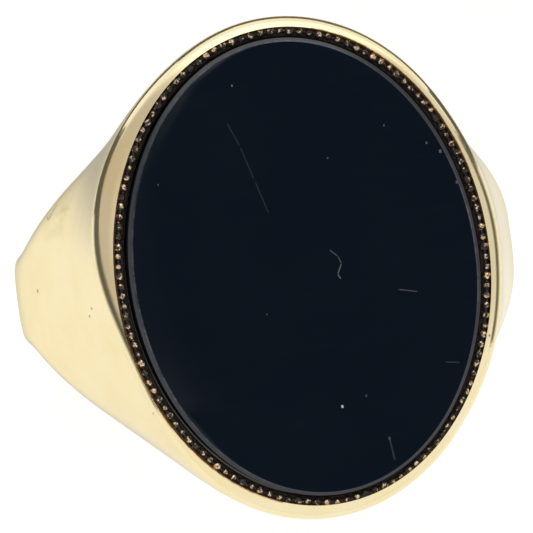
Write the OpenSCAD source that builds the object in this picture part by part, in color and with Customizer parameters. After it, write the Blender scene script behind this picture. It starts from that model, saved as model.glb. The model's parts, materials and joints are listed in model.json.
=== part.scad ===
// Oval signet ring: a gold head and shank holding a flat black onyx tablet.
// Units are millimetres. +Z points out of the stone's face, the finger hole
// runs along Y, and the origin is the centre of the finger hole.

/* [Finger] */
// Inside diameter of the band, which sets the finger size
finger_d = 18.5; // [17:0.1:20]

/* [Shank] */
// Wall thickness of the band at the two sides
side_wall = 1.5; // [1.3:0.05:1.8]
// Wall thickness at the bottom of the band
base_wall = 1.2; // [1:0.05:1.5]
// Width of the band at the two sides
side_w = 5; // [4.4:0.1:5.4]
// Width of the band at the bottom
base_w = 3.5; // [3:0.1:4]
// How square the band's edges are, higher is squarer
edge_n = 8; // [6:1:12]
// Thickness of the solder seams between shank and head
seam_t = 0.12; // [0.08:0.01:0.2]

/* [Head] */
// Length of the oval head, along the finger
head_l = 20; // [19.9:0.05:20.6]
// Width of the oval head, across the finger
head_w = 15.8; // [15.75:0.05:16.4]
// Metal between the finger hole and the floor of the stone's pocket
floor_t = 1.1; // [0.9:0.05:1.4]
// Height of the rounded roll round the rim
roll_h = 0.5; // [0.4:0.05:0.7]
// How late the shoulders spread lengthways, higher is later
spread = 0.8; // [0.6:0.05:0.85]
// How late the shoulders lean in over the finger, higher is later
lean = 1.2; // [1.1:0.05:1.5]

/* [Stone] */
// Length of the onyx tablet
stone_l = 18.2; // [18.1:0.02:18.3]
// Width of the onyx tablet
stone_w = 14.04; // [13.9:0.02:14.1]
// Thickness of the onyx tablet
stone_t = 1.45; // [1.3:0.05:1.6]
// Height of the bevel round the top of the tablet
bevel_h = 0.2; // [0.15:0.01:0.25]
// Width of the bevel round the top of the tablet
bevel_w = 0.12; // [0.08:0.01:0.16]

/* [Setting] */
// Number of beads on the milgrain wire
bead_count = 134; // [110:2:140]
// Diameter of a bead
bead_d = 0.32; // [0.28:0.01:0.34]
// Thickness of the bearing ring under the stone
bearing_t = 0.4; // [0.3:0.05:0.5]
// Thickness of the cement bed between bearing and stone
cement_t = 0.1; // [0.08:0.01:0.15]
// Width of the ledge the stone rests on
ledge_w = 1; // [0.8:0.1:1.4]
// Length of the open window behind the stone
window_l = 13; // [11:0.5:14]
// Width of the open window behind the stone
window_w = 9; // [7:0.5:10]

/* [Hidden] */

bore_r = finger_d / 2;
side_r = bore_r + side_wall;
base_r = bore_r + base_wall;
floor_z = bore_r + floor_t;                       // floor of the pocket
stone_z = floor_z + bearing_t + cement_t;         // underside of the tablet
table_z = stone_z + stone_t;                      // face of the tablet
top_z = table_z - 0.1;                            // crest of the gold rim
rim_z = top_z - roll_h;                           // widest level of the head
seam_a = asin(seam_t / side_r);                   // angle a seam takes up
slack = 0.04;                                     // stone to bezel, all round

stone_a = stone_w / 2;
stone_b = stone_l / 2;
bezel_a = stone_a + slack;                        // bezel, inside
bezel_b = stone_b + slack;
pocket_a = bezel_a + bead_d + 0.04;               // bezel, outside
pocket_b = bezel_b + bead_d + 0.02;
edge_a = pocket_a + 0.08;                         // sharp inner edge of rim
edge_b = pocket_b + 0.04;
wire_a = bezel_a + bead_d / 2;                    // centreline of the beads
wire_b = bezel_b + bead_d / 2;
bead_z = top_z - 0.05 - bead_d / 2;
bezel_z = bead_z - bead_d / 2;                    // top of the bezel strip

gold = [0.93, 0.83, 0.58];
gold_deep = [0.80, 0.66, 0.38];
solder = [0.85, 0.78, 0.58];
black = [0.07, 0.08, 0.10];
cement = [0.62, 0.60, 0.55];

eps = 0.01;
loop_n = 96;        // points round one level of the head
oval_n = 96;        // sides of the ovals that hold the stone
level_n = 20;       // levels up the shoulders
roll_n = 5;         // levels over the rounded rim
sweep_n = 44;       // steps round the shank
edge_p = 16;        // half the points across the shank

// A point on a superellipse: n = 2 is an oval, higher n is nearly a rectangle.
function corner(a, b, n, t) =
    [a * sign(cos(t)) * pow(abs(cos(t)), 2 / n),
     b * sign(sin(t)) * pow(abs(sin(t)), 2 / n)];

// One level of the shoulders, f = 0 at the band and f = 1 at the rim.
function level(f) = [
    side_r + (head_w / 2 - side_r) * pow(f, lean),
    side_w / 2 + (head_l - side_w) / 4 * (1 - cos(180 * pow(f, spread))),
    2 + (edge_n - 2) * pow(1 - f, 2.8)];

// One level of the roll, f = 0 at the widest line and f = 1 at the crest.
function rolled(f) = [
    edge_a + slack + (head_w / 2 - edge_a - slack) * cos(90 * f),
    edge_b + slack + (head_l / 2 - edge_b - slack) * cos(90 * f),
    2];

function ring_at(s, z) = [for (i = [0 : loop_n - 1])
    let (p = corner(s[0], s[1], s[2], 360 * i / loop_n)) [p[0], p[1], z]];

// Triangles between rows of points, each row going once round.
function skin(rows, n) = [for (k = [0 : rows - 2], i = [0 : n - 1],
    h = [0, 1]) let (j = (i + 1) % n, a = k * n, b = a + n)
    h == 0 ? [a + i, b + i, b + j] : [a + i, b + j, a + j]];

module lofted(loops) {
    n = len(loops[0]);
    m = len(loops);
    polyhedron(points = [for (l = loops) each l],
        faces = concat(skin(m, n),
            [[for (i = [0 : n - 1]) i]],
            [[for (i = [n - 1 : -1 : 0]) (m - 1) * n + i]]));
}

module oval(a, b, z0, z1) {
    translate([0, 0, z0])
        linear_extrude(z1 - z0)
            polygon([for (i = [0 : oval_n - 1]) let (t = 360 * i / oval_n)
                [a * cos(t), b * sin(t)]]);
}

// An oval whose wall leans from [a0, b0] at z0 to [a1, b1] at z1.
module oval_cone(a0, b0, a1, b1, z0, z1) {
    lofted([ring_at([a0, b0, 2], z0), ring_at([a1, b1, 2], z1)]);
}

module oval_ring(a1, b1, a0, b0, z0, z1) {
    difference() {
        oval(a1, b1, z0, z1);
        oval(a0, b0, z0 - 1, z1 + 1);
    }
}

module finger_bore() {
    rotate([90, 0, 0])
        cylinder(r = bore_r, h = 3 * head_l, center = true, $fn = 180);
}

// The outer form of head and shoulders, before the finger hole is cut.
module head_blank() {
    lofted(concat(
        [for (k = [0 : level_n]) ring_at(level(k / level_n),
            rim_z * k / level_n)],
        [for (k = [1 : roll_n]) ring_at(rolled(k / roll_n),
            rim_z + roll_h * sin(90 * k / roll_n))]));
}

module head() {
    color(gold)
    difference() {
        head_blank();
        finger_bore();
        oval(pocket_a, pocket_b, floor_z, top_z + 1);
        oval_cone(pocket_a - eps, pocket_b - eps, edge_a, edge_b,
            bezel_z, top_z + eps);
        oval(window_w / 2, window_l / 2, 0, floor_z + 1);
    }
}

// The band's section at angle a below the horizontal, as a half loop. A cut
// end is filed flat at the height z.
function band_loop(a, z = undef) = let (
    f = pow(sin(a), 2),
    r = side_r + (base_r - side_r) * f,
    w = (side_w + (base_w - side_w) * f) / 2,
    lim = acos(pow((bore_r - 0.5) / r, edge_n / 2)))
    [for (i = [-edge_p : edge_p])
        let (p = corner(r, w, edge_n, lim * i / edge_p))
        [p[0] * cos(a), p[1], is_undef(z) ? -p[0] * sin(a) : z]];

module band(loops) {
    difference() {
        lofted(loops);
        finger_bore();
    }
}

module shank() {
    color(gold)
        band(concat(
            [band_loop(180 - seam_a, -seam_t)],
            [for (k = [sweep_n - 1 : -1 : 1]) band_loop(180 * k / sweep_n)],
            [band_loop(seam_a, -seam_t)]));
}

module solder_seams() {
    color(solder)
    for (side = [0, 1])
        mirror([side, 0, 0])
            band([band_loop(seam_a, -seam_t), band_loop(0, 0)]);
}

module bezel() {
    color(gold_deep)
        oval_ring(pocket_a, pocket_b, bezel_a, bezel_b, floor_z, bezel_z);
}

// Half thickness of the beaded wire at phase f within one bead.
function bead_r(f) = bead_d / 2 * (0.62 + 0.38 * sin(180 * f));

module milgrain_wire() {
    sides = 6;
    per = 4;
    steps = bead_count * per;
    color(gold_deep)
    polyhedron(
        points = [for (k = [0 : steps - 1]) let (
            t = 360 * k / steps,
            u = atan2(wire_a * sin(t), wire_b * cos(t)),
            r = bead_r((k % per) / per))
            for (i = [0 : sides - 1]) let (
                v = 360 * (i + 0.5) / sides,
                out = r * cos(v))
                [wire_a * cos(t) + out * cos(u),
                 wire_b * sin(t) + out * sin(u),
                 bead_z + r * sin(v)]],
        faces = [for (k = [0 : steps - 1], i = [0 : sides - 1],
            h = [0, 1]) let (
                a = k * sides,
                b = ((k + 1) % steps) * sides,
                j = (i + 1) % sides)
                h == 0 ? [a + i, a + j, b + j] : [a + i, b + j, b + i]]);
}

module bearing() {
    color(gold_deep)
        oval_ring(bezel_a, bezel_b, stone_a - ledge_w, stone_b - ledge_w,
            floor_z, floor_z + bearing_t);
}

module cement_bed() {
    color(cement)
        oval_ring(stone_a, stone_b, stone_a - ledge_w, stone_b - ledge_w,
            floor_z + bearing_t, stone_z);
}

module onyx() {
    color(black)
    union() {
        oval(stone_a, stone_b, stone_z, table_z - bevel_h);
        oval_cone(stone_a, stone_b, stone_a - bevel_w, stone_b - bevel_w,
            table_z - bevel_h, table_z);
    }
}

head();
shank();
solder_seams();
bezel();
milgrain_wire();
bearing();
cement_bed();
onyx();
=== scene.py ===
# %% [markdown]
# # An oval signet ring with an onyx tablet
# The ring comes from the CAD frame in metres: +Z points out of the stone, the
# finger hole runs along Y. Each cell adds one piece of goldwork, one finish or
# one part of the studio, and says why it is made that way.

# %% Load the frame
import bpy
import bmesh
import json
import math
from mathutils import Matrix, Vector


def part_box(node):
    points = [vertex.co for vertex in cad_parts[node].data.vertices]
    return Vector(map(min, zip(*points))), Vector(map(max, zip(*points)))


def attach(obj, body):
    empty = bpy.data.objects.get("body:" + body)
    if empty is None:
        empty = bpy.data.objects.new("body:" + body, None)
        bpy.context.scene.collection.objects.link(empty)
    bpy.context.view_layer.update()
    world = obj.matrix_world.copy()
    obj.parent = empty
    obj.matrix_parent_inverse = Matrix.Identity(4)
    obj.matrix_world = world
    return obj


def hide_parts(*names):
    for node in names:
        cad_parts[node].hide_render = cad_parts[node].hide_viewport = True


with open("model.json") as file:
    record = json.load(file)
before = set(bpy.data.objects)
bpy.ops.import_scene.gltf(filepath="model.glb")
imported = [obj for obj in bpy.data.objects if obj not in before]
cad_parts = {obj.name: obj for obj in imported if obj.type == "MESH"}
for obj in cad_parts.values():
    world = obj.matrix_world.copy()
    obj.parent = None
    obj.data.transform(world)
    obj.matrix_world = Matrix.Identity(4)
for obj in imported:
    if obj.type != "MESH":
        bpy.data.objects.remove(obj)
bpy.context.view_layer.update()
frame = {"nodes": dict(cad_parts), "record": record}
MM = 0.001
head_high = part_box("head")[1]
shank_low, shank_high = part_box("shank")
stone_low, stone_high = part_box("onyx")
bezel_low, bezel_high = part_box("bezel")
wire_low, wire_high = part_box("milgrain_wire")
bore_r = frame["record"]["mounts"][0]["dims"]["r_mm"] * MM
print("nodes", sorted(frame["nodes"]), "bore radius", bore_r)

# %% [markdown]
# ## Working by hand in code
# A modelling operator acts on what is selected, so each step starts by letting
# go of everything and then picking points by their place. These small helpers
# do that: they are the hands for every piece below.

# %% Helpers for picking and shaping


def let_go():
    if bpy.context.object and bpy.context.object.mode != "OBJECT":
        bpy.ops.object.mode_set(mode="OBJECT")
    bpy.ops.object.select_all(action="DESELECT")


def pick(test, kind="VERT"):
    """Selects the points, edges or faces in edit mode that pass a test of place."""
    mesh = bmesh.from_edit_mesh(bpy.context.object.data)
    bpy.ops.mesh.select_all(action="DESELECT")
    bpy.ops.mesh.select_mode(type=kind)
    if kind == "VERT":
        for v in mesh.verts:
            v.select = test(v.co)
    if kind == "EDGE":
        for e in mesh.edges:
            e.select = all(test(v.co) for v in e.verts)
    if kind == "FACE":
        for f in mesh.faces:
            f.select = test(f.calc_center_median(), f.normal)
    mesh.select_flush_mode()
    bmesh.update_edit_mesh(bpy.context.object.data)


def name_piece(name):
    piece = bpy.context.object
    piece.name = name
    piece.data.name = name
    return piece


def settle(piece):
    """Applies an object's place so that it sits at the origin, unturned."""
    let_go()
    piece.select_set(True)
    bpy.context.view_layer.objects.active = piece
    bpy.ops.object.transform_apply(location=True, rotation=True, scale=True)


def seat(piece, degrees, shift):
    """Turns and shifts a finished piece a little, then makes that its place."""
    piece.rotation_euler.z = math.radians(degrees)
    piece.location = (*shift, 0)
    settle(piece)


def apply_modifier(piece, kind, **settings):
    let_go()
    piece.select_set(True)
    bpy.context.view_layer.objects.active = piece
    modifier = piece.modifiers.new(kind.title(), kind)
    for key, value in settings.items():
        setattr(modifier, key, value)
    bpy.ops.object.modifier_apply(modifier=modifier.name)


def smooth(piece, degrees):
    let_go()
    piece.select_set(True)
    bpy.context.view_layer.objects.active = piece
    bpy.ops.object.shade_smooth_by_angle(angle=math.radians(degrees),
                                         keep_sharp_edges=False)


def report(piece):
    triangles = sum(len(p.vertices) - 2 for p in piece.data.polygons)
    size = [round(d / MM, 2) for d in piece.dimensions]
    print(piece.name, "size mm", size, "triangles", triangles)


print("helpers ready")

# %% [markdown]
# ## Squarish ovals
# Across the shoulders a signet ring changes from a true oval at the rim to a
# nearly square-edged band at the side. Both are the same curve with one number
# changed, the squareness: 2 is an oval and 8 is almost a rectangle. A loop of
# points is pushed onto that curve four mirror points at a time with resize.

# %% A loop pushed onto a squarish oval
LOOP = 48            # points round one loop of the cage


def squarish(a, b, square, turn):
    """The corner point of a squarish oval, a quarter turn at most from +Y."""
    x = a * abs(math.sin(turn)) ** (2 / square)
    y = b * abs(math.cos(turn)) ** (2 / square)
    return x, y


def push_loop(z, a, b, square):
    """Pushes the loop at height z outwards or inwards, four points at a time."""
    half = LOOP // 2
    for k in range(LOOP // 4 + 1):
        four = {k, (LOOP - k) % LOOP, half - k, half + k}
        mesh = bmesh.from_edit_mesh(bpy.context.object.data)
        mesh.verts.index_update()
        for v in mesh.verts:
            v.select = abs(v.co.z - z) < 1e-6 and v.index % LOOP in four
        mesh.select_flush_mode()
        bmesh.update_edit_mesh(bpy.context.object.data)
        picked = [v.co for v in mesh.verts if v.select]
        old_x = max(abs(co.x) for co in picked)
        old_y = max(abs(co.y) for co in picked)
        x, y = squarish(a, b, square, 2 * math.pi * k / LOOP)
        bpy.ops.transform.resize(
            value=(x / old_x if old_x > 1e-6 else 1,
                   y / old_y if old_y > 1e-6 else 1, 1))


def raise_loop(z, a, b, square):
    """Extrudes the top loop to a new height and pushes it to its new outline."""
    mesh = bmesh.from_edit_mesh(bpy.context.object.data)
    top = max(v.co.z for v in mesh.verts)
    pick(lambda co: abs(co.z - top) < 1e-6)
    bpy.ops.mesh.extrude_region_move(
        TRANSFORM_OT_translate={"value": (0, 0, z - top)})
    push_loop(z, a, b, square)


print("squarish corner at 45 degrees", squarish(1, 1, 8, math.pi / 4))

# %% [markdown]
# ## Head and shoulders
# The top half of the ring is one forging: an oval head whose sides sweep down
# over the finger and narrow to the band. It is raised like a vessel, loop by
# loop, from the band's end at the height of the finger up to the rolled rim,
# then a subdivision surface takes the file marks out. Near the rim the loops
# lie closer together, because the roll is where light bends most.

# %% The head's sizes
side_r = head_high[0]
top_z = head_high[2]
rim_z = top_z - 0.75 * MM            # where the head is widest
rim_a = 7.90 * MM                    # half the head's width there
rim_b = head_high[1]                 # half its length there
band_b = 2.60 * MM                   # half the band's width at the side
edge_a = 7.50 * MM                   # the sharp inner edge of the rim
edge_b = 9.52 * MM
SHOULDER_LEVELS = 18
ROLL_LEVELS = 6
ROLL_TURN = math.radians(66)         # how far the roll bends over
HEAD_TWIST = 1.0                     # the head sits a little turned on the band
EASE = 0.03                          # softens the turn where head meets band
SPREAD = 0.575                       # how late the shoulders spread, lower is sooner
LEAN = 1.03                          # how late they lean in over the finger
SQUARE = 3.8                         # how square the band's section is at its end
print("rim", rim_a / MM, "by", rim_b / MM, "mm at height", rim_z / MM)


# %% The outlines of the shoulders and of the rolled rim
def shoulder(f):
    """Half width, half length and squareness, f = 0 at the band, 1 at the rim."""
    eased = (math.hypot(f, EASE) - EASE) / (math.hypot(1, EASE) - EASE)
    a = side_r + (rim_a - side_r) * eased ** LEAN
    b = band_b + (rim_b - band_b) * (1 - math.cos(math.pi * eased ** SPREAD)) / 2
    return a, b, 2 + SQUARE * (1 - f) ** 3.6


def roll(f):
    """The rolled rim, f = 0 at the widest line and f = 1 at the inner edge."""
    last = math.cos(ROLL_TURN)
    out = (math.cos(ROLL_TURN * f) - last) / (1 - last)
    return (edge_a + (rim_a - edge_a) * out, edge_b + (rim_b - edge_b) * out, 2,
            out)


def roll_height(f):
    return rim_z + (top_z - rim_z) * math.sin(ROLL_TURN * f) / math.sin(ROLL_TURN)


print("shoulder half way up", [round(v / MM, 2) for v in shoulder(0.5)[:2]])

# %% Raising the cage and turning it on the band
let_go()
bpy.ops.mesh.primitive_circle_add(vertices=LOOP, radius=side_r)
bpy.ops.object.mode_set(mode="EDIT")
push_loop(0, *shoulder(0))
for k in range(1, SHOULDER_LEVELS + 1):
    raise_loop(rim_z * k / SHOULDER_LEVELS, *shoulder(k / SHOULDER_LEVELS))
for k in range(1, ROLL_LEVELS + 1):
    raise_loop(roll_height(k / ROLL_LEVELS), *roll(k / ROLL_LEVELS)[:3])
for k in range(1, SHOULDER_LEVELS + 1):
    f = k / SHOULDER_LEVELS
    z = rim_z * f
    pick(lambda co: abs(co.z - z) < 1e-6 or (k == SHOULDER_LEVELS and co.z > z))
    bpy.ops.transform.rotate(value=-math.radians(HEAD_TWIST) * f * f,
                             orient_axis="Z", center_override=(0, 0, 0))
print("loops in the cage", SHOULDER_LEVELS + ROLL_LEVELS + 1)

# %% [markdown]
# A worn ring is never quite even. The far shoulders are filed a little slimmer,
# and the roll is wider in some places than in others, so each loop's points are
# moved outwards by a smooth amount that depends on their azimuth.

# %% Filing the shoulders and the roll uneven
SLIM_BACK = 0.055                    # the far shoulders are filed slimmer
BULGES = (           # where the roll is wider: azimuth in degrees, how far, reach
    (156, 0.44 * MM, 46),
    (208, -0.26 * MM, 42),
    (6, 0.20 * MM, 40),
    (250, 0.14 * MM, 50),
    (332, 0.12 * MM, 25),
    (55, 0.06 * MM, 35),
)


def bulge(turn):
    """How far the rim is pushed outwards at one azimuth, in degrees."""
    out = 0
    for middle, amount, reach in BULGES:
        off = abs((turn - middle + 180) % 360 - 180)
        if off < reach:
            out += amount * math.cos(math.pi / 2 * off / reach) ** 2
    return out


def bulge_loop(z, share):
    """Pushes each point of the loop at height z outwards by its own bulge."""
    pick(lambda co: abs(co.z - z) < 1e-6)
    mesh = bmesh.from_edit_mesh(bpy.context.object.data)
    loop = [v.co.copy() for v in mesh.verts if v.select]
    for spot in loop:
        turn = math.atan2(spot.y, spot.x)
        out = share * bulge(math.degrees(turn))
        if abs(out) > 1e-7:
            pick(lambda co: (co - spot).length < 1e-7)
            bpy.ops.transform.translate(
                value=(out * math.cos(turn), out * math.sin(turn), 0))


for k in range(1, SHOULDER_LEVELS):
    f = k / SHOULDER_LEVELS
    z = rim_z * f
    pick(lambda co: abs(co.z - z) < 1e-6 and co.y > 1e-6)
    slim = 1 - SLIM_BACK * math.sin(math.pi * f)
    bpy.ops.transform.resize(value=(1, slim, 1), center_override=(0, 0, 0))
for k in range(SHOULDER_LEVELS // 2, SHOULDER_LEVELS + 1):
    f = k / SHOULDER_LEVELS
    bulge_loop(rim_z * f, (2 * f - 1) ** 2)
for k in range(1, ROLL_LEVELS):
    bulge_loop(roll_height(k / ROLL_LEVELS), roll(k / ROLL_LEVELS)[3])
head = name_piece("head_and_shoulders")
apply_modifier(head, "SUBSURF", levels=2, render_levels=2)
report(head)

# %% [markdown]
# ## The stone's pocket and the window behind it
# The setter cuts a pocket down into the head for the stone, leaving a narrow
# bright bevel inside the rim, and an open window in its floor saves gold and
# lets the back of the stone breathe. The rim's loop is extruded inwards and
# down for each wall in turn. The deep cap at the end lies inside the finger
# hole, so cutting the hole opens the window.

# %% The pocket and the window
pocket_a = bezel_high[0]
pocket_b = bezel_high[1]
floor_z = bezel_low[2]
SETTING_TWIST = 1.9                  # the setting is turned a little further
SETTING_SHIFT = (0.04 * MM, -0.02 * MM)
STONE_TWIST = 2.4
STONE_SHIFT = (0.07 * MM, -0.03 * MM)
window_a = 4.5 * MM
window_b = 6.5 * MM
window_z = 6.5 * MM                  # the window's walls end inside the hole


def step_in(z, a, b):
    """Extrudes the picked loop to a new height and a new oval."""
    mesh = bmesh.from_edit_mesh(bpy.context.object.data)
    old = [v.co.copy() for v in mesh.verts if v.select]
    old_x = [co.x for co in old]
    old_y = [co.y for co in old]
    bpy.ops.mesh.extrude_region_move(
        TRANSFORM_OT_translate={"value": (0, 0, z - old[0].z)})
    bpy.ops.transform.resize(value=(2 * a / (max(old_x) - min(old_x)),
                                    2 * b / (max(old_y) - min(old_y)), 1))


let_go()
bpy.context.view_layer.objects.active = head
bpy.ops.object.mode_set(mode="EDIT")
pick(lambda co: abs(co.z - top_z) < 1e-6)
step_in(top_z - 0.03 * MM, edge_a - 0.02 * MM, edge_b - 0.02 * MM)
step_in(top_z - 0.20 * MM, pocket_a, pocket_b)
bpy.ops.transform.rotate(value=-math.radians(SETTING_TWIST - HEAD_TWIST),
                         orient_axis="Z")
bpy.ops.transform.translate(value=(*SETTING_SHIFT, 0))
step_in(floor_z, pocket_a, pocket_b)
step_in(floor_z, window_a, window_b)
step_in(window_z, window_a, window_b)
bpy.ops.mesh.edge_face_add()
pick(lambda co: abs(co.z) < 1e-6)
bpy.ops.mesh.edge_face_add()
bpy.ops.mesh.select_all(action="SELECT")
bpy.ops.mesh.normals_make_consistent(inside=False)
bpy.ops.object.mode_set(mode="OBJECT")
report(head)

# %% [markdown]
# ## The finger hole
# The hole has to be a true round, so it is bored last, with a cylinder laid
# along the finger as the cutter.

# %% The finger hole
let_go()
bpy.ops.mesh.primitive_cylinder_add(
    vertices=256, radius=bore_r, depth=40 * MM, rotation=(math.pi / 2, 0, 0))
mandrel = name_piece("mandrel")
settle(mandrel)
apply_modifier(head, "BOOLEAN", operation="DIFFERENCE", object=mandrel,
               solver="EXACT")
smooth(head, 50)
report(head)

# %% [markdown]
# ## Shank and solder seams
# The lower half of the band is a strip bent round a mandrel and soldered to
# the two ends of the head. It grows here from the head's own right end face,
# spun half a turn round the finger, so both ends meet their partners exactly.
# It then narrows and thins towards the bottom, one section at a time. The
# joints are filed flat, and each holds a film of solder.

# %% The shank, spun from the head's end face
SHANK_STEPS = 64
base_b = 1.75 * MM                    # half the width at the bottom
base_r = -shank_low[2]                # outside radius at the bottom
seam_z = shank_high[2]                # the shank's filed ends
let_go()
head.select_set(True)
bpy.context.view_layer.objects.active = head
bpy.ops.object.mode_set(mode="EDIT")
pick(lambda middle, n: abs(middle.z) < 1e-6 and middle.x > 0, "FACE")
bpy.ops.mesh.duplicate()
bpy.ops.mesh.separate(type="SELECTED")
bpy.ops.object.mode_set(mode="OBJECT")
strip = [o for o in bpy.context.selected_objects if o != head][0]
let_go()
strip.select_set(True)
bpy.context.view_layer.objects.active = strip
bpy.ops.object.mode_set(mode="EDIT")
bpy.ops.mesh.select_all(action="SELECT")
bpy.ops.mesh.spin(steps=SHANK_STEPS, angle=-math.pi, center=(0, 0, 0),
                  axis=(0, 1, 0))
bpy.ops.mesh.select_all(action="SELECT")
bpy.ops.mesh.normals_make_consistent(inside=False)
for k in range(1, SHANK_STEPS):
    turn = math.pi * k / SHANK_STEPS
    way = Vector((math.cos(turn), 0, -math.sin(turn)))
    low = math.sin(turn) ** 2
    across = Vector((math.sin(turn), 0, math.cos(turn)))
    pick(lambda co: abs(co.dot(across)) < 1e-6 and co.dot(way) > 0)
    narrow = 1 + (base_b / band_b - 1) * low
    bpy.ops.transform.resize(value=(1, narrow, 1), center_override=(0, 0, 0))
    pick(lambda co: abs(co.dot(across)) < 1e-6
         and co.dot(way) > bore_r + 0.1 * MM)
    thin = 1 + (base_r / side_r - 1) * low
    bpy.ops.transform.resize(value=(thin, 1, thin), center_override=(0, 0, 0))
shank = name_piece("shank_strip")
report(shank)

# %% The solder seams, cut off the strip's two ends
let_go()
shank.select_set(True)
bpy.context.view_layer.objects.active = shank
bpy.ops.object.duplicate()
seams = name_piece("solder_films")
bpy.ops.object.mode_set(mode="EDIT")
bpy.ops.mesh.select_all(action="SELECT")
bpy.ops.mesh.bisect(plane_co=(0, 0, seam_z), plane_no=(0, 0, 1),
                    use_fill=True, clear_inner=True)
bpy.ops.object.mode_set(mode="OBJECT")
let_go()
shank.select_set(True)
bpy.context.view_layer.objects.active = shank
bpy.ops.object.mode_set(mode="EDIT")
bpy.ops.mesh.select_all(action="SELECT")
bpy.ops.mesh.bisect(plane_co=(0, 0, seam_z), plane_no=(0, 0, 1),
                    use_fill=True, clear_outer=True)
bpy.ops.object.mode_set(mode="OBJECT")
smooth(shank, 60)
smooth(seams, 60)
report(shank)
report(seams)

# %% [markdown]
# ## Bezel strip
# A thin strip of gold lines the pocket and grips the stone's edge. It is an
# oval tube, raised from a ring of points, stepped in over its top with a small
# bevel and taken down again inside.

# %% The bezel strip
RING = 192           # points round the setting
grip_a = pocket_a - 0.36 * MM
grip_b = pocket_b - 0.34 * MM
bezel_top = bezel_high[2]


def oval_start(z, a, b):
    """A fresh ring of points, picked and ready to extrude."""
    let_go()
    bpy.ops.mesh.primitive_circle_add(vertices=RING, radius=a,
                                      location=(0, 0, z))
    bpy.ops.object.transform_apply(location=True)
    bpy.ops.object.mode_set(mode="EDIT")
    bpy.ops.mesh.select_all(action="SELECT")
    bpy.ops.transform.resize(value=(1, b / a, 1))


def close_tube():
    """Joins the first and last rings of points into a closed tube."""
    bpy.ops.mesh.select_all(action="DESELECT")
    bpy.ops.mesh.select_mode(type="EDGE")
    bpy.ops.mesh.select_non_manifold()
    bpy.ops.mesh.bridge_edge_loops()
    bpy.ops.mesh.select_all(action="SELECT")
    bpy.ops.mesh.normals_make_consistent(inside=False)
    bpy.ops.object.mode_set(mode="OBJECT")


oval_start(floor_z, pocket_a, pocket_b)
step_in(bezel_top - 0.04 * MM, pocket_a, pocket_b)
step_in(bezel_top, pocket_a - 0.04 * MM, pocket_b - 0.04 * MM)
step_in(bezel_top, grip_a + 0.05 * MM, grip_b + 0.05 * MM)
step_in(bezel_top - 0.05 * MM, grip_a, grip_b)
step_in(floor_z, grip_a, grip_b)
close_tube()
bezel = name_piece("bezel_strip")
seat(bezel, SETTING_TWIST, SETTING_SHIFT)
smooth(bezel, 35)
report(bezel)

# %% [markdown]
# ## Milgrain
# A knurled wheel rolled along a wire leaves a row of tiny domes. One dome is
# made, its foot drawn down into the wire, and copied round the oval at equal
# steps, each copy a hair bigger or smaller, as a wheel run by hand leaves
# them. A fine wire joins their feet.

# %% Places for the beads
BEADS = 134
bead_r = (wire_high[2] - wire_low[2]) / 2
bead_z = (wire_high[2] + wire_low[2]) / 2
wire_a = wire_high[0] - bead_r
wire_b = wire_high[1] - bead_r


def even_oval(a, b, count):
    """Points the same distance apart round an oval."""
    fine = [Vector((a * math.cos(t), b * math.sin(t), 0))
            for t in (2 * math.pi * i / 4000 for i in range(4001))]
    run = [0]
    for one, two in zip(fine, fine[1:]):
        run.append(run[-1] + (two - one).length)
    points, j = [], 0
    for k in range(count):
        while run[j] < run[-1] * k / count:
            j += 1
        points.append(fine[j])
    return points


places = even_oval(wire_a + 0.10 * MM, wire_b + 0.10 * MM, BEADS)
print("beads", len(places), "of radius", round(bead_r / MM, 3), "mm")

# %% One milgrain bead and its copies
let_go()
bpy.ops.mesh.primitive_ico_sphere_add(subdivisions=2, radius=bead_r * 0.98)
bpy.ops.object.mode_set(mode="EDIT")
pick(lambda co: co.z < -bead_r * 0.3)
bpy.ops.transform.resize(value=(1.25, 1.25, 0.8))
bpy.ops.object.mode_set(mode="OBJECT")
bpy.ops.object.shade_flat()
bead = name_piece("bead")
beads = []
for k, place in enumerate(places):
    let_go()
    bead.select_set(True)
    bpy.context.view_layer.objects.active = bead
    bpy.ops.object.duplicate()
    copy = bpy.context.object
    size = 1.08 + 0.16 * math.sin(k * 2.4) * math.sin(k * 0.37)
    copy.scale = (size, size, 1)
    copy.rotation_euler = (0.3 * math.sin(k * 5.1), 0.3 * math.cos(k * 3.7),
                           k * 1.7)
    stray = 1 + 0.0025 * math.sin(k * 7.3)
    copy.location = place * stray + Vector((0, 0, bead_z - 0.05 * MM))
    beads.append(copy)
bpy.data.objects.remove(bead)
print("copies", len(beads))

# %% The fine wire that joins the beads' feet
let_go()
bpy.ops.mesh.primitive_torus_add(
    major_segments=RING, minor_segments=8, major_radius=wire_a + 0.10 * MM,
    minor_radius=bead_r * 0.55, location=(0, 0, 0))
bpy.ops.object.mode_set(mode="EDIT")
bpy.ops.mesh.select_all(action="SELECT")
bpy.ops.transform.resize(value=(1, wire_b / wire_a, 1))
bpy.ops.transform.translate(value=(0, 0, bead_z - bead_r * 0.55))
bpy.ops.object.mode_set(mode="OBJECT")
bpy.ops.object.shade_smooth()
for copy in beads:
    copy.select_set(True)
bpy.ops.object.join()
milgrain = name_piece("milgrain_beads")
settle(milgrain)
seat(milgrain, SETTING_TWIST, SETTING_SHIFT)
report(milgrain)
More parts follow.
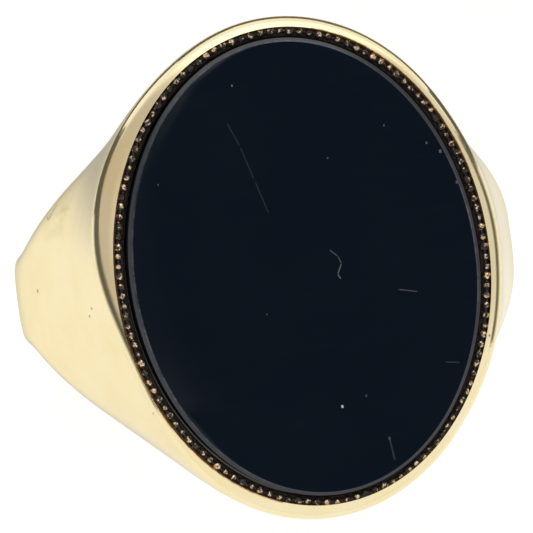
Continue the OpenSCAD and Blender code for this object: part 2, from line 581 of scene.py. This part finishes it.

# %% [markdown]
# ## Onyx tablet
# The stone is a flat slice with a polished table, a narrow facet round its
# edge and a steep side that the bezel grips. It is raised ring by ring, and
# the table is set a hair off the middle, so the facet is a little uneven.

# %% The onyx tablet
table_z = stone_high[2]
girdle_a = stone_high[0] - 0.01 * MM
girdle_b = stone_high[1] - 0.01 * MM
oval_start(stone_low[2], girdle_a - 0.06 * MM, girdle_b - 0.06 * MM)
step_in(stone_low[2] + 0.06 * MM, girdle_a, girdle_b)
step_in(table_z - 0.34 * MM, girdle_a, girdle_b)
step_in(table_z - 0.08 * MM, girdle_a - 0.06 * MM, girdle_b)
step_in(table_z, girdle_a - 0.25 * MM, girdle_b - 0.15 * MM)
bpy.ops.transform.translate(value=(0.03 * MM, -0.02 * MM, 0))
bpy.ops.mesh.edge_face_add()
pick(lambda co: abs(co.z - stone_low[2]) < 1e-6)
bpy.ops.mesh.edge_face_add()
bpy.ops.mesh.select_all(action="SELECT")
bpy.ops.mesh.normals_make_consistent(inside=False)
bpy.ops.object.mode_set(mode="OBJECT")
onyx = name_piece("onyx_tablet")
seat(onyx, STONE_TWIST, STONE_SHIFT)
smooth(onyx, 25)
report(onyx)
bpy.data.objects.remove(mandrel)

# %% [markdown]
# ## Everything rides on the ring
# A ring is one rigid thing, so every piece rides on the one body. The plain
# CAD node that each new piece stands in for is hidden.

# %% Riding and replacing
for piece, node, finish in ((head, "head", "gold"),
                            (shank, "shank", "gold"),
                            (seams, "solder_seams", "solder"),
                            (bezel, "bezel", "gold_setting"),
                            (milgrain, "milgrain_wire", "gold_setting"),
                            (onyx, "onyx", "onyx")):
    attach(piece, "root")
    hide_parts(node)
print("pieces riding", 6)

# %% [markdown]
# ## Tools for finishes
# Materials are built from small named steps. Each helper adds one node and
# returns the socket that carries its result, so a finish reads like a recipe.

# %% Helpers for building node trees


def node(tree, kind, **settings):
    n = tree.nodes.new(kind)
    for key, value in settings.items():
        setattr(n, key, value)
    return n


def plug(tree, value, socket):
    """Sets a socket to a plain value, or links another socket into it."""
    if hasattr(value, "is_output"):
        tree.links.new(value, socket)
    else:
        socket.default_value = value


def maths(tree, operation, a, b=0.0):
    n = node(tree, "ShaderNodeMath", operation=operation)
    plug(tree, a, n.inputs[0])
    plug(tree, b, n.inputs[1])
    return n.outputs[0]


def vector(tree, operation, a, b=(0, 0, 0)):
    n = node(tree, "ShaderNodeVectorMath", operation=operation)
    plug(tree, a, n.inputs[0])
    plug(tree, b, n.inputs[1])
    return n.outputs["Value" if operation in ("DOT_PRODUCT", "LENGTH") else 0]


def ramp(tree, value, low, high, start=0.0, end=1.0):
    """Carries a value smoothly from one range into another."""
    n = node(tree, "ShaderNodeMapRange", interpolation_type="SMOOTHSTEP")
    for given, name in ((value, "Value"), (low, "From Min"), (high, "From Max"),
                        (start, "To Min"), (end, "To Max")):
        plug(tree, given, n.inputs[name])
    return n.outputs[0]


def blend(tree, mask, a, b):
    """Goes from colour a to colour b as the mask goes from 0 to 1."""
    n = node(tree, "ShaderNodeMix", data_type="RGBA")
    plug(tree, mask, n.inputs["Factor"])
    plug(tree, a, n.inputs["A"])
    plug(tree, b, n.inputs["B"])
    return n.outputs["Result"]


def noise(tree, where, scale, detail=2.0, rough=0.5):
    n = node(tree, "ShaderNodeTexNoise")
    plug(tree, where, n.inputs["Vector"])
    plug(tree, scale, n.inputs["Scale"])
    plug(tree, detail, n.inputs["Detail"])
    plug(tree, rough, n.inputs["Roughness"])
    return n.outputs[0]


def place_of(tree):
    """The point on the piece, in metres in the ring's own frame."""
    return node(tree, "ShaderNodeTexCoord").outputs["Object"]


def new_group(name, inputs, outputs):
    """An empty node group with named float, vector or colour sockets."""
    kinds = {"f": "NodeSocketFloat", "v": "NodeSocketVector",
             "c": "NodeSocketColor"}
    tree = bpy.data.node_groups.new(name, "ShaderNodeTree")
    for label, kind in inputs:
        tree.interface.new_socket(label, in_out="INPUT", socket_type=kinds[kind])
    for label, kind in outputs:
        tree.interface.new_socket(label, in_out="OUTPUT", socket_type=kinds[kind])
    return (tree, tree.nodes.new("NodeGroupInput").outputs,
            tree.nodes.new("NodeGroupOutput").inputs)


def use_group(tree, group, **values):
    n = node(tree, "ShaderNodeGroup", node_tree=group)
    for label, value in values.items():
        plug(tree, value, n.inputs[label.replace("_", " ")])
    return n.outputs


def new_material(name):
    material = bpy.data.materials.new(name)
    material.use_nodes = True
    tree = material.node_tree
    return material, tree, tree.nodes["Principled BSDF"].inputs


def add_bump(tree, skin, height, distance):
    """Tilts a finish by a height that is multiplied by a distance."""
    bump = node(tree, "ShaderNodeBump")
    bump.inputs["Strength"].default_value = 1.0
    bump.inputs["Distance"].default_value = distance
    plug(tree, height, bump.inputs["Height"])
    plug(tree, bump.outputs[0], skin["Normal"])


def height_of(tree):
    """How high on the ring the point is, in metres."""
    split = node(tree, "ShaderNodeSeparateXYZ")
    plug(tree, place_of(tree), split.inputs[0])
    return split.outputs["Z"]


def dress(piece, material):
    piece.data.materials.clear()
    piece.data.materials.append(material)


print("node helpers ready")

# %% [markdown]
# ## Shared wear
# Three small effects are shared by several finishes. Polishing leaves fine
# hairlines in all directions; years of wear leave soft dents and sparse pits;
# and here and there sits one longer scratch, drawn as a short thin stroke.

# %% The hairlines group
hairlines, g_in, g_out = new_group(
    "hairlines", [("Place", "v"), ("Scale", "f")], [("Lines", "f")])
lines = 0.0
for k, turn in enumerate((0.4, 1.5, 2.6)):
    turned = node(hairlines, "ShaderNodeMapping")
    turned.inputs["Rotation"].default_value = (turn, turn * 1.7, turn * 2.3)
    turned.inputs["Scale"].default_value = (0.03, 1, 1)
    plug(hairlines, g_in["Place"], turned.inputs["Vector"])
    streak = noise(hairlines, turned.outputs[0], g_in["Scale"], 1.0)
    lines = maths(hairlines, "MAXIMUM", lines, ramp(hairlines, streak, 0.64, 0.74))
plug(hairlines, lines, g_out["Lines"])
print("nodes in hairlines", len(hairlines.nodes))

# %% The worn skin group
worn_skin, g_in, g_out = new_group(
    "worn_skin", [("Place", "v"), ("Scale", "f")],
    [("Mottle", "f"), ("Dents", "f"), ("Pits", "f")])
mottle = noise(worn_skin, g_in["Place"], g_in["Scale"], 4.0, 0.6)
plug(worn_skin, ramp(worn_skin, mottle, 0.3, 0.7), g_out["Mottle"])
dent_scale = maths(worn_skin, "MULTIPLY", g_in["Scale"], 1.6)
dents = noise(worn_skin, g_in["Place"], dent_scale, 1.0)
plug(worn_skin, dents, g_out["Dents"])
cells = node(worn_skin, "ShaderNodeTexVoronoi")
plug(worn_skin, g_in["Place"], cells.inputs["Vector"])
pit_scale = maths(worn_skin, "MULTIPLY", g_in["Scale"], 3.0)
plug(worn_skin, pit_scale, cells.inputs["Scale"])
lottery = vector(worn_skin, "DOT_PRODUCT", cells.outputs["Color"], (1, 0, 0))
lone = maths(worn_skin, "GREATER_THAN", lottery, 0.93)
dot = ramp(worn_skin, cells.outputs["Distance"], 0.04, 0.12, 1.0, 0.0)
plug(worn_skin, maths(worn_skin, "MULTIPLY", lone, dot), g_out["Pits"])
print("nodes in worn skin", len(worn_skin.nodes))

# %% The stroke group
stroke, g_in, g_out = new_group(
    "stroke", [("Place", "v"), ("Centre", "v"), ("Along", "v"), ("Length", "f"),
               ("Width", "f")], [("Mask", "f")])
away = vector(stroke, "SUBTRACT", g_in["Place"], g_in["Centre"])
along = vector(stroke, "DOT_PRODUCT", away, g_in["Along"])
across = vector(stroke, "CROSS_PRODUCT", away, g_in["Along"])
side = vector(stroke, "LENGTH", across)
half = maths(stroke, "MULTIPLY", g_in["Length"], 0.5)
fade_from = maths(stroke, "MULTIPLY", half, 0.8)
inside = ramp(stroke, maths(stroke, "ABSOLUTE", along), fade_from, half, 1.0, 0.0)
core = maths(stroke, "MULTIPLY", g_in["Width"], 0.2)
narrow = ramp(stroke, side, core, g_in["Width"], 1.0, 0.0)
plug(stroke, maths(stroke, "MULTIPLY", inside, narrow), g_out["Mask"])
print("nodes in stroke", len(stroke.nodes))


# %% Scratches and specks made of strokes
def strokes(tree, where, marks, squash=1.0):
    """Draws several strokes, each (start, end, width mm, strength), as one mask.

    On steep skin a stroke may leave the surface, so heights can be squashed.
    """
    total = 0.0
    press = Vector((1, 1, squash))
    where = vector(tree, "MULTIPLY", where, press)
    for start, end, width, strength in marks:
        one = Vector(start) * MM * press
        two = Vector(end) * MM * press
        mask = use_group(tree, stroke, Place=where, Centre=(one + two) / 2,
                         Along=(two - one).normalized(),
                         Length=(two - one).length, Width=width * MM)["Mask"]
        total = maths(tree, "MAXIMUM", total, maths(tree, "MULTIPLY", mask, strength))
    return total


def scratch(points, width, strength):
    """One scratch through several points in mm, as a list of strokes."""
    return [(one, two, width, strength) for one, two in zip(points, points[1:])]


def speck(spot, width, strength):
    """A dot, drawn as a stroke that is as long as it is wide."""
    x, y, z = spot
    return [((x, y + width, z), (x, y - width, z), width, strength)]


print("wear groups", [g.name for g in bpy.data.node_groups])

# %% [markdown]
# ## Gold
# The ring is a pale yellow gold. Polish keeps it smooth, but it isn't a
# mirror: its roughness wanders with the mottle, the hairlines catch light, and
# the soft dents bend the reflection of the paper it lies on.

# %% A gold finish
GOLD = (0.86, 0.760, 0.500, 1)
GOLD_WARM = (0.84, 0.715, 0.415, 1)
SOLDER_GOLD = (0.90, 0.79, 0.52, 1)
# Real grime in pits and scratches, and also the painted shade inside the setting's recess
GRIME_AND_SHADE = (0.014, 0.010, 0.008, 1)
STEEP = 0.25                          # how far strokes on the gold are squashed


def gold_finish(name, light, dark, rough_low, rough_high, dent_depth, marks=()):
    material, tree, skin = new_material(name)
    where = place_of(tree)
    wear = use_group(tree, worn_skin, Place=where, Scale=300.0)
    fine = use_group(tree, hairlines, Place=where, Scale=5000.0)["Lines"]
    scratched = strokes(tree, where, marks, STEEP)
    tone = blend(tree, wear["Mottle"], light, dark)
    dirt = maths(tree, "MAXIMUM", maths(tree, "MULTIPLY", wear["Pits"], 0.7), scratched)
    plug(tree, blend(tree, dirt, tone, GRIME_AND_SHADE), skin["Base Color"])
    skin["Metallic"].default_value = 1.0
    skin["Specular Tint"].default_value = (0.95, 0.91, 0.78, 1)
    dull = ramp(tree, wear["Mottle"], 0.0, 1.0, rough_low, rough_high)
    dull = maths(tree, "ADD", dull, maths(tree, "MULTIPLY", fine, 0.06))
    plug(tree, dull, skin["Roughness"])
    height = maths(tree, "MULTIPLY", wear["Dents"], dent_depth)
    height = maths(tree, "SUBTRACT", height, maths(tree, "MULTIPLY", fine, 0.0006))
    height = maths(tree, "SUBTRACT", height, maths(tree, "MULTIPLY", dirt, 0.01))
    add_bump(tree, skin, height, MM)
    return material


print("gold", GOLD[:3])

# %% Polished gold on the ring and solder in its seams
NICK = ((-8.8, 3.8, 4.3), (-9.05, 3.5, 4.1), (-9.25, 3.2, 4.0), (-9.25, 3.4, 3.5))
PITS = ((-8.33, -0.6, 9.7), (-8.43, -0.9, 9.2), (7.05, -3.7, 12.1), (-6.6, -5.0, 11.5))
GOLD_MARKS = scratch(NICK, 0.05, 0.55)
for spot in PITS:
    GOLD_MARKS += speck(spot, 0.05, 0.7)
polished = gold_finish("polished_gold", GOLD, GOLD_WARM, 0.10, 0.17, 0.018,
                       GOLD_MARKS)
solder = gold_finish("gold_solder", SOLDER_GOLD, GOLD_WARM, 0.16, 0.24, 0.03)
for piece in (head, shank):
    dress(piece, polished)
dress(seams, solder)
print("marks on the gold", len(GOLD_MARKS))

# %% [markdown]
# ## The setting's gold
# Inside the recess nobody can polish, and little light gets in. Below their
# bright tips the beads are painted dark: partly grime, partly painted shade of
# the recess. The dark follows height: only the tips of the beads are clean. The
# head's own walls inside the recess get the same dark colour, and the lip above
# the beads is painted a patchy warm brown, the shade and dark reflection it has.

# %% Gold dark with grime and painted shade, clean on its tips
# The bead tips are a darker, warmer gold than the ring: painted shade of the recess
SHADED_BEAD_GOLD = (0.82, 0.62, 0.40, 1)
# The lip's warm brown is a painted shade and reflection of the dark stone
LIP_SHADE_BROWN = (0.52, 0.31, 0.11, 1)


def gold_with_grime_and_shade(name, lip_share):
    """Grime and painted shade below clean tips; the lip above the beads gets painted warm brown
    shade.
    """
    material, tree, skin = new_material(name)
    where = place_of(tree)
    high = height_of(tree)
    blotch = noise(tree, where, 7000.0, 3.0)
    raised = maths(tree, "ADD", high,
                   maths(tree, "MULTIPLY", blotch, 0.60 * MM))
    # Below the clean tips the colour is grime and painted shade of the recess
    tip = ramp(tree, raised, bead_z + 0.38 * MM, bead_z + 0.44 * MM)
    # Patches of the lip's painted brown shade
    patchy = ramp(tree, noise(tree, where, 3000.0), 0.35, 0.60, 0.3, 1.0)
    lip = ramp(tree, high, top_z - 0.21 * MM, top_z - 0.16 * MM)
    lip = maths(tree, "MULTIPLY", lip, maths(tree, "MULTIPLY", patchy, lip_share))
    colour = blend(tree, tip, GRIME_AND_SHADE, SHADED_BEAD_GOLD)
    plug(tree, blend(tree, lip, colour, LIP_SHADE_BROWN), skin["Base Color"])
    plug(tree, maths(tree, "MAXIMUM", tip, lip), skin["Metallic"])
    dull = ramp(tree, tip, 0.0, 1.0, 0.40, 0.12)
    plug(tree, maths(tree, "MAXIMUM", dull, maths(tree, "MULTIPLY", lip, 0.5)),
         skin["Roughness"])
    add_bump(tree, skin, blotch, 0.05 * MM)
    return material


print("bead tips at", round((bead_z + bead_r) / MM, 2), "mm")


# %% Gold with grime and painted shade on the setting and inside the head's recess
def in_recess(middle, n):
    """Is this face of the head inside the pocket or the window?"""
    inside = (middle.x / edge_a) ** 2 + (middle.y / edge_b) ** 2 < 0.994
    inward = n.x * middle.x + n.y * middle.y < 0 or n.z > 0.5
    above_hole = math.hypot(middle.x, middle.z) > bore_r + 0.05 * MM
    return inside and inward and above_hole


setting = gold_with_grime_and_shade("setting_gold", 0.0)
recess = gold_with_grime_and_shade("recess_gold", 1.0)
for piece in (bezel, milgrain):
    dress(piece, setting)
head.data.materials.append(recess)
let_go()
head.select_set(True)
bpy.context.view_layer.objects.active = head
bpy.ops.object.mode_set(mode="EDIT")
pick(in_recess, "FACE")
head.active_material_index = 1
bpy.ops.object.material_slot_assign()
bpy.ops.object.mode_set(mode="OBJECT")
dress(frame["nodes"]["bearing"], setting)

print("faces of the head in the recess",
      sum(p.material_index for p in head.data.polygons))

# %% [markdown]
# ## Cement
# The bed under the stone is jeweller's cement, dull and grainy like fine
# plaster. It shows only through gaps, so one noise drives colour and grain.

# %% The cement
cement, tree, skin = new_material("setting_cement")
where = place_of(tree)
grain = noise(tree, where, 4000.0, 5.0, 0.7)
plug(tree, blend(tree, grain, (0.20, 0.18, 0.15, 1), (0.38, 0.35, 0.30, 1)), skin["Base Color"])
plug(tree, ramp(tree, grain, 0.2, 0.8, 0.7, 0.9), skin["Roughness"])
add_bump(tree, skin, grain, 0.02 * MM)
dress(frame["nodes"]["cement_bed"], cement)
print("dressed", cement.name)

# %% [markdown]
# ## Onyx
# Polished onyx is a very dark blue-black glass-like stone. Its narrow facet
# is painted grey: partly frost and chips from wear, partly a painted highlight
# along the table's lit edge. The table carries a few hair scratches and specks.

# %% Scratches and specks on the table
face = table_z / MM
SCRATCHES = (         # width and strength, then points along the scratch, in mm
    (0.035, 0.035, ((-2.3, 6.0), (-1.9, 5.0), (-1.5, 3.6), (-1.1, 2.2))),
    (0.030, 0.130, ((1.1, 0.5), (1.4, 0.2), (1.5, -0.1))),
    (0.030, 0.220, ((1.5, -0.1), (1.3, -0.5), (1.4, -0.7))),
    (0.030, 0.120, ((3.6, -1.4), (4.4, -1.6))),
    (0.030, 0.060, ((5.1, -4.5), (5.7, -4.6))),
    (0.045, 0.060, ((2.5, -7.2), (2.6, -8.1))),
)
SPECKS = (            # place, size and strength, in mm
    (0.8, -5.7, 0.06, 0.90),
    (1.8, -5.4, 0.05, 0.10),
    (2.5, -7.2, 0.07, 0.10),
    (-1.7, -1.7, 0.04, 0.10),
    (3.9, 5.1, 0.04, 0.18),
    (1.5, 4.1, 0.04, 0.15),
    (5.5, 4.2, 0.05, 0.18),
    (6.0, 3.8, 0.07, 0.20),
    (-1.9, 7.4, 0.04, 0.30),
    (-5.3, 3.9, 0.04, 0.12),
    (6.5, 2.5, 0.06, 0.14),
    (6.9, 1.2, 0.06, 0.16),
)
ONYX_MARKS = []
for width, strength, points in SCRATCHES:
    ONYX_MARKS += scratch([(x, y, face) for x, y in points], width, strength)
for x, y, width, strength in SPECKS:
    ONYX_MARKS += speck((x, y, face), width, strength)
print("marks on the onyx", len(ONYX_MARKS))

# %% The onyx finish
ONYX_DARK = (0.0020, 0.0042, 0.0080, 1)
ONYX_LIGHT = (0.0040, 0.0062, 0.0110, 1)
# Grey for scratches, frost and chips, and for the painted highlight on the facet
FROST_AND_HIGHLIGHT = (0.45, 0.45, 0.50, 1)
material, tree, skin = new_material("polished_onyx")
where = place_of(tree)
high = height_of(tree)
cloud = noise(tree, where, 180.0, 3.0)
body = blend(tree, cloud, ONYX_DARK, ONYX_LIGHT)
above_girdle = ramp(tree, high, table_z - 0.09 * MM, table_z - 0.06 * MM)
below_table = ramp(tree, high, table_z - 0.012 * MM, table_z - 0.002 * MM, 1.0, 0.0)
facet = maths(tree, "MULTIPLY", above_girdle, below_table)
chipped = noise(tree, where, 2400.0, 4.0, 0.75)
# Broad patches make the facet's painted grey brighter in places and dimmer in others
uneven_arc = noise(tree, where, 220.0, 2.0)
# The painted highlight is strongest at the table's edge
arris = ramp(tree, high, table_z - 0.036 * MM, table_z - 0.022 * MM, 0.14, 1.0)
frost_and_highlight = maths(tree, "MULTIPLY", facet, ramp(tree, chipped, 0.38, 0.66, 0.15, 1.0))
frost_and_highlight = maths(tree, "MULTIPLY", frost_and_highlight, arris)
frost_and_highlight = maths(tree, "MULTIPLY", frost_and_highlight, ramp(tree, uneven_arc, 0.38, 0.62, 0.40, 1.5))
fine = use_group(tree, hairlines, Place=where, Scale=9000.0)["Lines"]
fine = maths(tree, "MULTIPLY", fine, 0.0015)
marked = strokes(tree, where, ONYX_MARKS)
white = maths(tree, "MAXIMUM", marked, maths(tree, "MULTIPLY", frost_and_highlight, 0.10))
white = maths(tree, "MAXIMUM", white, fine)
plug(tree, blend(tree, white, body, FROST_AND_HIGHLIGHT), skin["Base Color"])
rough = maths(tree, "MAXIMUM", frost_and_highlight, marked)
plug(tree, ramp(tree, rough, 0.0, 0.5, 0.05, 0.35), skin["Roughness"])
skin["IOR"].default_value = 1.54
dress(onyx, material)
print("materials", [m.name for m in bpy.data.materials])

# %% [markdown]
# ## Studio
# The ring lies on white paper in a white tent. What shapes the gold is what it
# mirrors: paper on its steep sides, a dark gap in the tent low down behind it,
# pale panels around, and the dark shape of the camera straight above, which
# keeps the stone black.

# %% The tent
tent = bpy.data.worlds.new("tent")
bpy.context.scene.world = tent
tent.use_nodes = True
tree = tent.node_tree
toward = node(tree, "ShaderNodeTexCoord").outputs["Generated"]
toward = vector(tree, "NORMALIZE", toward)


def grey(level):
    return (level, level, level, 1)


def panel(colour, way, inner, outer, tone):
    """A soft-edged round panel in the tent, seen inside so many degrees."""
    facing = vector(tree, "DOT_PRODUCT", toward, Vector(way).normalized())
    mask = ramp(tree, facing, math.cos(math.radians(outer)), math.cos(math.radians(inner)))
    return blend(tree, mask, colour, tone)


colour = panel(grey(1.06), (0.3, 1.0, 0.6), 42, 58, grey(1.6))
colour = panel(colour, (-0.92, 0.40, 0.50), 22, 42, (0.64, 0.59, 0.56, 1))
colour = panel(colour, (1.0, 0.30, 0.50), 20, 38, grey(0.80))
colour = panel(colour, (0.12, 0.0, 0.99), 20, 36, grey(0.02))
camera_sees = node(tree, "ShaderNodeLightPath").outputs["Is Camera Ray"]
colour = blend(tree, camera_sees, colour, grey(1.0))
plug(tree, colour, tree.nodes["Background"].inputs["Color"])
tree.nodes["Background"].inputs["Strength"].default_value = 1.0

print("panels hung in the tent", 4)

# %% The white paper
FLOOR_R = 0.6
let_go()
bpy.ops.mesh.primitive_circle_add(vertices=96, radius=FLOOR_R, fill_type="NGON",
                                  location=(0, 0, shank_low[2]))
floor = name_piece("floor")
paper, tree, skin = new_material("white_paper")
where = place_of(tree)
fibre = noise(tree, where, 900.0, 4.0)
plug(tree, blend(tree, fibre, grey(0.90), grey(0.94)), skin["Base Color"])
skin["Roughness"].default_value = 1.0
skin["Specular IOR Level"].default_value = 0.0
dress(floor, paper)
print("paper at", floor.data.vertices[0].co.z / MM, "mm")

# %% [markdown]
# ## Black cards
# A photographer stands black cards, called flags, round polished metal to give
# it dark edges. Only the gold sees them here. Each is darkest at the height of
# the ring's middle and greyer above and below, so its mirror image has a soft
# edge.

# %% The card's finish
card_black, tree, skin = new_material("black_card")
high = height_of(tree)
foot_shade = ramp(tree, high, -3.0 * MM, 3.0 * MM)
shade = blend(tree, foot_shade, grey(0.60), grey(0.13))
head_shade = ramp(tree, high, 12.0 * MM, 20.0 * MM)
shade = blend(tree, head_shade, shade, grey(0.50))
plug(tree, shade, skin["Base Color"])
skin["Roughness"].default_value = 0.9
print("dressed", card_black.name)


# %% The cards standing round the ring
def hide_from_all_but_gold(piece):
    """Leaves a piece of the studio visible only in mirror images."""
    piece.visible_camera = False
    piece.visible_diffuse = False
    piece.visible_shadow = False


def flag(name, azimuth, away, wide, top, drop=0):
    """A black card standing on the paper, seen only by the polished gold.

    One end of its top edge can be cut lower, so its mirror image tapers.
    """
    let_go()
    foot = shank_low[2] / MM
    bpy.ops.mesh.primitive_plane_add(size=1)
    card = name_piece(name)
    bpy.ops.object.mode_set(mode="EDIT")
    pick(lambda co: co.x > 0 and co.y > 0)
    bpy.ops.transform.translate(value=(0, -drop / (top - foot), 0))
    bpy.ops.object.mode_set(mode="OBJECT")
    card.scale = (wide * MM, (top - foot) * MM, 1)
    card.rotation_euler = (math.pi / 2, 0, math.radians(azimuth - 90))
    card.location = (away * MM * math.cos(math.radians(azimuth)),
                     away * MM * math.sin(math.radians(azimuth)),
                     (top + foot) / 2 * MM)
    settle(card)
    dress(card, card_black)
    hide_from_all_but_gold(card)


flag("flag_behind", 90, 17, 16, 7.5)
flag("flag_behind_left", 132, 17, 14, 6.5)
flag("flag_behind_right", 45, 17, 16, 7.0)
flag("flag_left", 174, 30, 44, 29.0, 21.0)
flag("flag_right", 1, 50, 38, 17.0)
flag("flag_corner_left", 150, 20, 9, 9.5)
flag("flag_corner_right", 26, 24, 8, 8.5)
print("flags standing", 7)

# %% [markdown]
# ## Shade under the ring and the light
# Close to the ring the paper is dimmer, because the ring keeps light off it,
# and the gold mirrors that. A disc that only the gold sees lies on the paper
# and fades from grey to white. One soft lamp near the camera lights the rest.

# %% The dim paper near the ring
SHADE_MIDDLE = (-0.2 * MM, 2.8 * MM)
SHADE_R = 24 * MM
let_go()
bpy.ops.mesh.primitive_circle_add(vertices=96, radius=SHADE_R, fill_type="NGON",
                                  location=(*SHADE_MIDDLE, 0))
shadow = name_piece("contact_shadow")
settle(shadow)
shadow.location.z = shank_low[2] + 0.05 * MM
hide_from_all_but_gold(shadow)
dim, tree, skin = new_material("paper_under_the_ring")
away = vector(tree, "SUBTRACT", place_of(tree), (*SHADE_MIDDLE, 0))
away = vector(tree, "LENGTH", vector(tree, "MULTIPLY", away, (1, 1, 0)))
fade = ramp(tree, away, 9 * MM, 18.5 * MM)
plug(tree, blend(tree, fade, grey(0.42), grey(0.92)), skin["Base Color"])
skin["Roughness"].default_value = 1.0
skin["Specular IOR Level"].default_value = 0.0
dress(shadow, dim)
print("shade fades out at 18.5 mm")

# %% The lamp
bpy.ops.object.light_add(type="AREA")
key = bpy.context.object
key.data.shape = "DISK"
key.data.size = 0.07
key.data.energy = 1.1
key.location = (-0.06, 0.0, 0.50)
key.visible_glossy = False
print("lamp energy", round(key.data.energy, 2))

# %% [markdown]
# ## Camera
# The camera looks down at the stone from almost straight above, a little
# towards the ring's left shoulder, through a long lens.

# %% Camera
LEAN_Z = math.radians(7.50)           # how the ring is turned before the lens
LEAN_Y = math.radians(6.92)
LEAN_X = math.radians(0.34)
AIM = Vector((0.01, 0.10, 0)) * MM    # what the middle of the view looks at
DISTANCE = 150 * MM
bpy.context.scene.view_settings.view_transform = "Standard"
turn = (Matrix.Rotation(LEAN_Z, 3, "Z") @ Matrix.Rotation(LEAN_Y, 3, "Y")
        @ Matrix.Rotation(LEAN_X, 3, "X"))
place = turn.transposed() @ (AIM + Vector((0, 0, DISTANCE)))
camera_data = bpy.data.cameras.new("camera")
camera = bpy.data.objects.new("camera", camera_data)
bpy.context.collection.objects.link(camera)
camera.matrix_world = (Matrix.Translation(place)
                       @ turn.transposed().to_4x4())
camera_data.sensor_width = 36
camera_data.lens = 236.06
camera_data.clip_start = 0.01
camera_data.clip_end = 10
bpy.context.scene.camera = camera
print("lens", round(camera_data.lens, 2), "mm")
